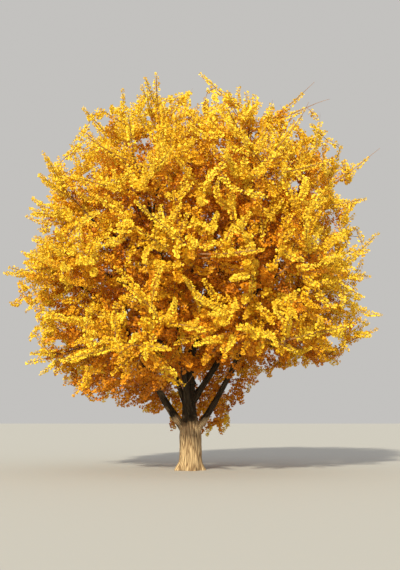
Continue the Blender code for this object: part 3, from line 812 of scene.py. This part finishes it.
def bare_leaders(carriers, random):
    """Leafless wisps that run on from the outermost tips on the crown's upper right."""
    tips = np.array([path[-1] for path in carriers])
    heads = unit(np.array([path[-1] - path[-2] for path in carriers]))
    high = (tips[:, 2] > BARE_FROM) & (tips[:, 0] > BARE_FIRST_X) & ~in_crown(tips, FINE_SHARE)
    tips, heads = tips[high], heads[high]
    length = random.uniform(*BARE_LENGTHS, len(tips))
    bent = unit(heads + [0, 0, BARE_RISE] + random.normal(0, BARE_JITTER, heads.shape))
    return list(shoot_paths(Shoots(tips, heads, bent, length)))


def limb_tufts(limbs, random):
    """Short leafy shoots that stand straight off the bare lengths of the limbs."""
    paths = [limb.points for limb in limbs]
    root, tangent, order = shoot_sites(paths, TUFT_EVERY)
    count = len(root)
    side = beside(tangent, random.uniform(0, 2 * math.pi, count))
    leave = unit(side + TUFT_LEAN * tangent)
    end = unit(side + growth(root) + random.normal(0, TUFT_JITTER, (count, 3)))
    tufts = Shoots(root, leave, end, random.uniform(*TUFT_LENGTHS, count))
    kept = (order >= 0) & (root[:, 2] > TUFT_LOWEST) & (random.uniform(0, 1, count) < TUFT_SHARE)
    return take(tufts, kept)


def openness(points):
    """How open each place is to the light, 0 to 1: few others lie outward of it and above it."""
    outward = points * [1, 1, 0]
    outward /= np.linalg.norm(outward, axis=1, keepdims=True)
    way = unit(outward + [0, 0, LIGHT_RISE])
    covers = np.empty(len(points))
    nearest, furthest = COVER_RANGE
    for start in range(0, len(points), LIGHT_BATCH):
        batch = slice(start, start + LIGHT_BATCH)
        run = points[None] - points[batch, None]
        along = (run * way[batch, None]).sum(-1)
        off = np.sqrt(np.maximum((run * run).sum(-1) - along**2, 0))
        covers[batch] = ((along > nearest) & (along < furthest) & (off < COVER_RADIUS)).sum(1)
    return np.exp(-covers / COVER_FADE)


def mesh_piece(name, points, faces, material, nodes, smooth=False, place=None):
    """One object from arrays of points and triangles, and of each point's place on its bark."""
    mesh = bpy.data.meshes.new(name)
    mesh.vertices.add(len(points))
    mesh.vertices.foreach_set("co", np.ravel(points).astype(np.float32))
    mesh.loops.add(faces.size)
    mesh.loops.foreach_set("vertex_index", np.ravel(faces).astype(np.int32))
    mesh.polygons.add(len(faces))
    mesh.polygons.foreach_set("loop_start", np.arange(0, faces.size, 3, dtype=np.int32))
    mesh.update(calc_edges=True)
    mesh.polygons.foreach_set("use_smooth", np.full(len(faces), smooth))
    if place is not None:
        made = mesh.attributes.new("bark_place", "FLOAT_VECTOR", "POINT")
        made.data.foreach_set("vector", np.ravel(place).astype(np.float32))
    mesh.materials.append(material)
    piece = bpy.data.objects.new(name, mesh)
    bpy.context.scene.collection.objects.link(piece)
    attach(piece, "root")
    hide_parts(*nodes)
    return piece


def leaves_on(shoots, light, random):
    """Points of every leaf on the shoots: tufts of fans spiral up each shoot, tilt forward and to the
    light, and grow smaller to its tip. Also says which shoot each leaf is on."""
    tips = places_at(shoots, 1.0)
    bare = np.clip((tips[:, 2] - BARE_FROM) / BARE_OVER, 0, 1)
    bare *= np.clip((tips[:, 0] - BARE_X_FROM) / BARE_X_OVER, 0, 1)
    leafy = 1 - BARE_SHARE * bare * random.uniform(0, 1, len(tips))
    every = np.interp(light, (0, 1), SPUR_EVERY)
    spurs = np.maximum((leafy * shoots.length / every).astype(int), SPURS_LEAST)
    owner = np.repeat(np.arange(len(spurs)), spurs)
    number = np.arange(len(owner)) - np.repeat(np.cumsum(spurs) - spurs, spurs)
    t = (number + random.uniform(*SPUR_JITTER, len(owner))) / spurs[owner]
    t = (FIRST_SPUR + (1 - FIRST_SPUR) * t) * leafy[owner]
    owner = np.repeat(owner, LEAVES_PER_SPUR)
    number = np.repeat(number, LEAVES_PER_SPUR)
    t = np.repeat(t, LEAVES_PER_SPUR)
    count = len(owner)
    place, ahead = shoot_places(take(shoots, owner), t)
    fan = np.tile(np.arange(LEAVES_PER_SPUR) - (LEAVES_PER_SPUR - 1) / 2, count // LEAVES_PER_SPUR)
    roll = GOLDEN_ANGLE * number + FAN_TURN * fan + random.normal(0, LEAF_ROLL, count)
    side = beside(ahead, roll)
    tilt = random.uniform(*LEAF_TILTS, count) * (1 - LEAF_TIP_TILT * t**3)
    along = ahead * np.cos(tilt)[:, None] + side * np.sin(tilt)[:, None]
    along = unit(along - [0, 0, LEAF_DROOP])
    outward = place * [1, 1, 0]
    outward /= np.linalg.norm(outward, axis=1, keepdims=True) + AXIS_SOFTNESS
    out_share, up_share, jitter = LEAF_FACING
    facing = out_share * outward + [0, 0, up_share] + random.normal(0, jitter, (count, 3))
    across = unit(np.cross(along, facing))
    size = np.interp(light, (0, 1), LEAF_LENGTHS)[owner]
    size *= random.uniform(*LEAF_SIZES, count) * (1 - LEAF_TIP_SIZE * t**2)
    basis = np.stack([across, along, np.cross(across, along)], axis=1) * size[:, None, None]
    return place[:, None, :] + np.einsum("vk,nkc->nvc", LEAF_SHAPE, basis), owner


def fill(tree, inputs, values):
    """Set each named input of a node, or link it to the output that is given for it."""
    for key, value in values.items():
        if isinstance(value, bpy.types.NodeSocket):
            tree.links.new(value, inputs[key])
        else:
            inputs[key].default_value = value


def node(tree, kind, values, output=0, **settings):
    """One output of a new shader node with its inputs and settings."""
    made = tree.nodes.new("ShaderNode" + kind)
    for key, value in settings.items():
        setattr(made, key, value)
    fill(tree, made.inputs, values)
    return made.outputs[output]


def new_material(name):
    """A material, its node tree and the inputs of its shader."""
    made = bpy.data.materials.new(name)
    made.use_nodes = True
    return made, made.node_tree, made.node_tree.nodes["Principled BSDF"].inputs


def leaf_material(name, colour):
    made, tree, shader = new_material(name)
    looks = {"Base Color": (*colour, 1), "Roughness": LEAF_ROUGHNESS, "Specular IOR Level": LEAF_SPECULAR}
    fill(tree, shader, looks)
    return made


def thin_wood(paths, radii):
    """Three-sided prisms along paths of equal numbers of points, with a radius for each number: rings
    square to each path, joined side by side, with a triangle over either end."""
    paths = np.asarray(paths)
    count, steps = paths.shape[:2]
    ahead = unit(np.gradient(paths, axis=1))
    first = any_normal(ahead)
    second = np.cross(ahead, first)
    angle = 2 * math.pi * np.arange(3) / 3
    ring = first[:, :, None] * np.cos(angle)[:, None] + second[:, :, None] * np.sin(angle)[:, None]
    points = paths[:, :, None] + ring * radii[:, None, None]
    index = np.arange(count * steps * 3).reshape(count, steps, 3)
    ends = np.concatenate([index[:, 0, ::-1], index[:, -1]])
    return points.reshape(-1, 3), np.concatenate([walls(index), ends])


def walls(index):
    """Triangles between each ring of points and the next, two to a side. The last axis goes round."""
    low, high = index[..., :-1, :], index[..., 1:, :]
    low_next, high_next = np.roll(low, -1, -1), np.roll(high, -1, -1)
    both = np.stack([low, low_next, high_next, low, high_next, high], axis=-1)
    return both.reshape(-1, 3)


def joined(parts):
    """Several pairs of points and faces as one pair."""
    points, faces, start = [], [], 0
    for some_points, some_faces in parts:
        points.append(some_points)
        faces.append(some_faces + start)
        start += len(some_points)
    return np.concatenate(points), np.concatenate(faces)


def bark_group():
    """Furrowed bark, as a colour and a height. Noise and the cracks between cells, both drawn out along
    the limb, are multiplied: furrows are low and dark, ridges high and pale. Above the fork the colour
    deepens by the upper shade, along an uneven edge: painted shade, for the crown's shadow on the wood."""
    tree = bpy.data.node_groups.new("furrowed_bark", "ShaderNodeTree")
    for name, way, kind in (
        ("Place", "INPUT", "Vector"),
        ("Position", "INPUT", "Vector"),
        ("Ridge", "INPUT", "Color"),
        ("Furrow", "INPUT", "Color"),
        ("Fineness", "INPUT", "Float"),
        ("Upper shade", "INPUT", "Float"),
        ("Color", "OUTPUT", "Color"),
        ("Height", "OUTPUT", "Float"),
    ):
        tree.interface.new_socket(name, in_out=way, socket_type="NodeSocket" + kind)
    given = tree.nodes.new("NodeGroupInput").outputs
    stretch = {0: given["Place"], 1: (1, 1, BARK_DRAWN_OUT)}
    drawn_out = node(tree, "VectorMath", stretch, operation="MULTIPLY")
    fine = node(tree, "VectorMath", {0: drawn_out, "Scale": given["Fineness"]}, operation="SCALE")
    coarse = node(tree, "TexNoise", {"Vector": fine, **BARK_NOISE})
    edges = {"Vector": fine, "Scale": CRACK_SCALE}
    cells = node(tree, "TexVoronoi", edges, feature="DISTANCE_TO_EDGE")
    cracks = node(tree, "MapRange", {"Value": cells, "From Max": CRACK_WIDTH})
    height = node(tree, "Math", {0: coarse, 1: cracks}, operation="MULTIPLY")
    low, high = PALE_HEIGHTS
    paleness = node(tree, "MapRange", {"Value": height, "From Min": low, "From Max": high})
    blend = {0: paleness, 6: given["Furrow"], 7: given["Ridge"]}
    colour = node(tree, "Mix", blend, 2, data_type="RGBA")
    # Painted shade: above the fork the colour is multiplied down towards the upper shade, for the crown's
    # shadow.
    up = node(tree, "SeparateXYZ", {"Vector": given["Position"]}, "Z")
    patches = node(tree, "TexNoise", {"Vector": given["Position"], "Scale": SHADE_PATCHES})
    uneven = {0: patches, 1: SHADE_UNEVENNESS, 2: up}
    low, high = np.array(SHADE_HEIGHTS) + SHADE_UNEVENNESS / 2
    darken = {
        "Value": node(tree, "Math", uneven, operation="MULTIPLY_ADD"),
        "From Min": low,
        "From Max": high,
        "To Min": 1.0,
        "To Max": given["Upper shade"],
    }
    shade = node(tree, "MapRange", darken)
    shaded = node(tree, "VectorMath", {0: colour, "Scale": shade}, operation="SCALE")
    fill(tree, tree.nodes.new("NodeGroupOutput").inputs, {"Color": shaded, "Height": height})
    return tree


def bark_material(group, name, ridge, furrow, fineness, upper_shade, depth):
    """Bark on one kind of wood. Its furrows follow bark_place, metres across and along the limb."""
    made, tree, shader = new_material(name)
    bark = tree.nodes.new("ShaderNodeGroup")
    bark.node_tree = group
    wood = {
        "Place": node(tree, "Attribute", {}, "Vector", attribute_name="bark_place"),
        "Position": node(tree, "TexCoord", {}, "Object"),
        "Ridge": (*ridge, 1),
        "Furrow": (*furrow, 1),
        "Fineness": fineness,
        "Upper shade": upper_shade,
    }
    fill(tree, bark.inputs, wood)
    relief = {"Height": bark.outputs["Height"], "Distance": depth, "Strength": BUMP_STRENGTH}
    looks = {
        "Base Color": bark.outputs["Color"],
        "Normal": node(tree, "Bump", relief),
        "Roughness": BARK_ROUGHNESS,
        "Specular IOR Level": BARK_SPECULAR,
    }
    fill(tree, shader, looks)
    return made


def furrows(angle, along):
    """Braided ridges, 0 in a furrow and 1 on a ridge: two sets of waves round the limb, whose places
    wander along it, and a slower swell."""
    total = SWELL_SHARE * (0.5 + 0.5 * np.sin(3 * angle + 1.3 * along))
    for share, count, wander, rate, phase, fine, fine_rate, fine_turns in RIDGES:
        shift = wander * np.sin(rate * along + phase)
        shift += fine * np.sin(fine_rate * along + fine_turns * angle)
        total += share * np.abs(np.sin(count * angle + shift)) ** RIDGE_POWER
    return total


def path_frames(path):
    """Two directions square to the path at each point, carried along it without twist."""
    ahead = unit(np.gradient(path, axis=0))
    firsts = [any_normal(ahead[0])]
    for tangent in ahead[1:]:
        carried = firsts[-1] - tangent * (firsts[-1] @ tangent)
        firsts.append(unit(carried))
    first = np.array(firsts)
    return first, np.cross(ahead, first)


def bark_surface(path, radius, sides, relief):
    """A tube along the path, closed over either end by a fan about the path's own end. Its radius is
    given for each ring and angle, and the furrows cut into it. Returns points, faces and bark_place."""
    first, second = path_frames(path)
    angle = 2 * math.pi * np.arange(sides) / sides
    along = distances(path)
    grid_angle, grid_along = np.meshgrid(angle, along)
    reach = radius - relief * (1 - furrows(grid_angle, grid_along))
    cos, sin = np.cos(grid_angle)[..., None], np.sin(grid_angle)[..., None]
    points = path[:, None] + (first[:, None] * cos + second[:, None] * sin) * reach[..., None]
    mean = radius.mean()
    place = np.stack([mean * np.cos(grid_angle), mean * np.sin(grid_angle), grid_along], axis=-1)
    index = np.arange(len(path) * sides).reshape(-1, sides)
    hub = np.full(sides, index.size)
    fans = [
        np.stack([np.roll(index[0], -1), index[0], hub], axis=-1),
        np.stack([index[-1], np.roll(index[-1], -1), hub + 1], axis=-1),
    ]
    points = np.concatenate([points.reshape(-1, 3), path[[0, -1]]])
    place = np.concatenate([place.reshape(-1, 3), [[0, 0, along[0]], [0, 0, along[-1]]]])
    return points, np.concatenate([walls(index), *fans]), place


def limb_surface(limb):
    """A limb with a collar where it leaves its parent, and knuckles where it has shed twigs: its radius
    is multiplied by a bell curve about its start, and by two waves along it."""
    collar_length = TRUNK_COLLAR if limb.parent.name == "trunk" else LIMB_COLLAR
    if limb.name == "leader":
        collar_length = LEADER_COLLAR
    fine = smooth_path(np.column_stack([limb.points, limb.radii]))
    fine = even_samples(fine, int(distances(limb.points)[-1] / LIMB_RING_EVERY))
    path, radius = fine[:, :3], fine[:, 3]
    along = distances(path)
    collar = 1 + COLLAR_SWELL * bell(along, collar_length)
    phase = KNUCKLE_PHASE * limb.radii[0]
    (deep, slow), (shallow, fast) = KNUCKLES
    knuckles = 1 + deep * np.sin(along * slow + phase) + shallow * np.sin(along * fast + 2 * phase)
    sides = LIMB_SIDES[0] if limb.radii[0] > THICK_LIMB else LIMB_SIDES[1]
    grid = np.repeat((radius * collar * knuckles)[:, None], sides, axis=1)
    return bark_surface(path, grid, sides, LIMB_FURROWS * grid)


def smooth_path(rows):
    """Places and radii of a limb, cut fine: a cubic Hermite curve through its places, and radii that
    change evenly from each to the next."""
    points, radii = rows[:, :3], rows[:, 3]
    run = distances(points)
    at = np.linspace(0, run[-1], PATH_POINTS)
    slopes = np.gradient(points, run, axis=0)
    i = np.clip(np.searchsorted(run, at, side="right") - 1, 0, len(run) - 2)
    width = (run[i + 1] - run[i])[:, None]
    t = (at - run[i])[:, None] / width
    curve = (
        (2 * t**3 - 3 * t**2 + 1) * points[i]
        + (t**3 - 2 * t**2 + t) * width * slopes[i]
        + (3 * t**2 - 2 * t**3) * points[i + 1]
        + (t**3 - t**2) * width * slopes[i + 1]
    )
    return np.column_stack([curve, np.interp(at, run, radii)])


def trunk_surface():
    """The trunk: its root lobes die away upwards, and flutes run down it from the limbs above. The radius
    is the mean of the given one a little below, at and above each height, times the lobes' cosine round
    the trunk, the flutes' cosine and a slow swell."""
    heights = np.linspace(0, TRUNK_HEIGHTS[-1], TRUNK_RINGS)
    path = np.stack([trunk_axis(heights), 0 * heights, heights], axis=1)
    angle = 2 * math.pi * np.arange(TRUNK_SIDES) / TRUNK_SIDES
    first, _ = path_frames(path)
    turn = math.atan2(first[0, 1], first[0, 0])
    grid_angle, grid_height = np.meshgrid(angle + turn, heights)
    above = np.interp(grid_height + TRUNK_SMOOTHING, TRUNK_HEIGHTS, TRUNK_RADII)
    below = np.interp(np.maximum(grid_height - TRUNK_SMOOTHING, 0), TRUNK_HEIGHTS, TRUNK_RADII)
    smooth = (np.interp(grid_height, TRUNK_HEIGHTS, TRUNK_RADII) + above + below) / 3
    fade = np.maximum(1 - grid_height / ROOT_LOBE_FADE, 0) ** ROOT_LOBE_POWER
    lobes = ROOT_LOBE_DEPTH * fade * np.cos(ROOT_LOBES * grid_angle + ROOT_LOBE_TURN)
    rise = np.clip((grid_height - FLUTES_FROM) / FLUTES_OVER, 0, 1)
    flutes = FLUTE_DEPTH * rise * np.cos(2 * grid_angle + 0.2)
    swell = SWELL_DEPTH * np.sin(3 * grid_angle + 2.2 * grid_height) * np.sin(4.1 * grid_height + 1)
    radius = smooth * (1 + lobes + flutes + swell)
    return bark_surface(path, radius, TRUNK_SIDES, TRUNK_FURROWS * smooth)


def build_trunk(bark):
    points, faces, place = trunk_surface()
    points[:, 2] = np.maximum(points[:, 2], 0)
    points[:TRUNK_SIDES, 2] = 0
    mesh_piece("trunk_bark", points, faces, bark, ["trunk"], True, place)


def build_limbs(limbs, bark):
    surfaces = [limb_surface(limb) for limb in limbs]
    points, faces = joined([(p, f) for p, f, _ in surfaces])
    place = np.concatenate([p for _, _, p in surfaces])
    mesh_piece("limb_bark", points, faces, bark, LIMB_NODES, True, place)


def build_twigs(stems, twigs, finer, shoots, bark):
    kinds = [
        ([even_samples(path, TWIG_POINTS) for path in paths], radii)
        for paths, radii in ((stems, STEM_RADII), (twigs, TWIG_RADII), (finer, FINE_RADII))
    ]
    kinds.append((shoot_paths(shoots), SHOOT_RADII))
    parts = [thin_wood(paths, np.linspace(*radii, TWIG_POINTS)) for paths, radii in kinds]
    points, faces = joined(parts)
    mesh_piece("twigs", points, faces, bark, FOLIAGE_NODES, place=points)


def build_leaves(shoots, random):
    """Each shoot's leaves take one tint: the paler, the more open its place is to the light, so the
    deeper tints are painted shade on covered shoots.
    """
    middles = places_at(shoots, LIGHT_AT)
    light = openness(middles)
    points, owner = leaves_on(shoots, light, random)
    # Painted shade: the less open a shoot is to the light, the deeper its tint.
    rank = TINT_SPAN * (1 - light) + random.normal(0, TINT_JITTER, len(middles))
    tint = np.clip(np.round(rank), 0, len(LEAF_TINTS) - 1).astype(int)
    for number, (name, colour) in enumerate(LEAF_TINTS.items()):
        chosen = points[tint[owner] == number]
        material = leaf_material("leaf_" + name, colour)
        shares = np.array_split(chosen, math.ceil(len(chosen) / LEAVES_PER_PIECE))
        for index, some in enumerate(shares):
            faces = (np.arange(len(some))[:, None, None] * len(LEAF_SHAPE) + LEAF_FACES).reshape(-1, 3)
            piece = f"leaves_{name}_{index + 1}"
            mesh_piece(piece, some.reshape(-1, 3), faces, material, FOLIAGE_NODES)


def build_stage():
    """Pale floor, a sun for the photograph's low warm light, and a pale sky that fills the shade."""
    scene = bpy.context.scene
    bpy.ops.mesh.primitive_plane_add(size=FLOOR_SIZE)
    floor = bpy.context.object
    floor.name = "floor"
    pale, tree, shader = new_material("floor")
    fill(tree, shader, {"Base Color": (*FLOOR_COLOUR, 1), "Roughness": FLOOR_ROUGHNESS})
    floor.data.materials.append(pale)
    sun = bpy.data.lights.new("sun", "SUN")
    sun.energy = SUN_STRENGTH
    sun.angle = SUN_SOFTNESS
    sun.color = SUN_COLOUR
    lamp = bpy.data.objects.new("sun", sun)
    azimuth = math.atan2(SUN_FROM[1], SUN_FROM[0])
    drop = math.acos(SUN_FROM[2] / math.dist((0, 0, 0), SUN_FROM))
    lamp.rotation_euler = (0, drop, azimuth)
    scene.collection.objects.link(lamp)
    world = bpy.data.worlds.new("sky")
    scene.world = world
    world.use_nodes = True
    back = world.node_tree.nodes["Background"].inputs
    fill(world.node_tree, back, {"Color": (*SKY_COLOUR, 1), "Strength": SKY_STRENGTH})
    scene.view_settings.view_transform = "Standard"


def build_camera():
    data = bpy.data.cameras.new("camera")
    data.sensor_fit = "VERTICAL"
    data.sensor_height = SENSOR
    data.lens = SENSOR * FOCAL_PIXELS / PHOTO_HEIGHT
    data.clip_end = 1000
    camera = bpy.data.objects.new("camera", data)
    camera.location = CAMERA_PLACE
    camera.rotation_euler = (math.pi / 2 + CAMERA_PITCH, 0, 0)
    bpy.context.scene.collection.objects.link(camera)
    bpy.context.scene.camera = camera


def main():
    build_stage()
    build_camera()
    masses = foliage_masses()
    trunk, limbs, ends = all_limbs(masses)
    stems = [mass_stem(mass, ends[mass.name]) for mass in masses]
    twigs = []
    for mass, stem in zip(masses, stems):
        twigs += mass_twigs(mass, stem, masses, [trunk, *limbs])
    random = np.random.default_rng(SHOOT_SEED)
    finer = fine_twigs(stems + twigs, crown_places(random))
    carriers = stems + twigs + finer
    bare = bare_leaders(carriers, random)
    kinds = (leafy_shoots(carriers, random), leafy_ends(carriers), limb_tufts(limbs, random))
    shoots = Shoots(*(np.concatenate(columns) for columns in zip(*kinds)))
    group = bark_group()
    trunk_bark, limb_bark, twig_bark = (bark_material(group, name, *BARKS[name]) for name in BARKS)
    build_trunk(trunk_bark)
    build_limbs(limbs, limb_bark)
    build_twigs(stems, twigs, finer + bare, shoots, twig_bark)
    build_leaves(shoots, random)


main()
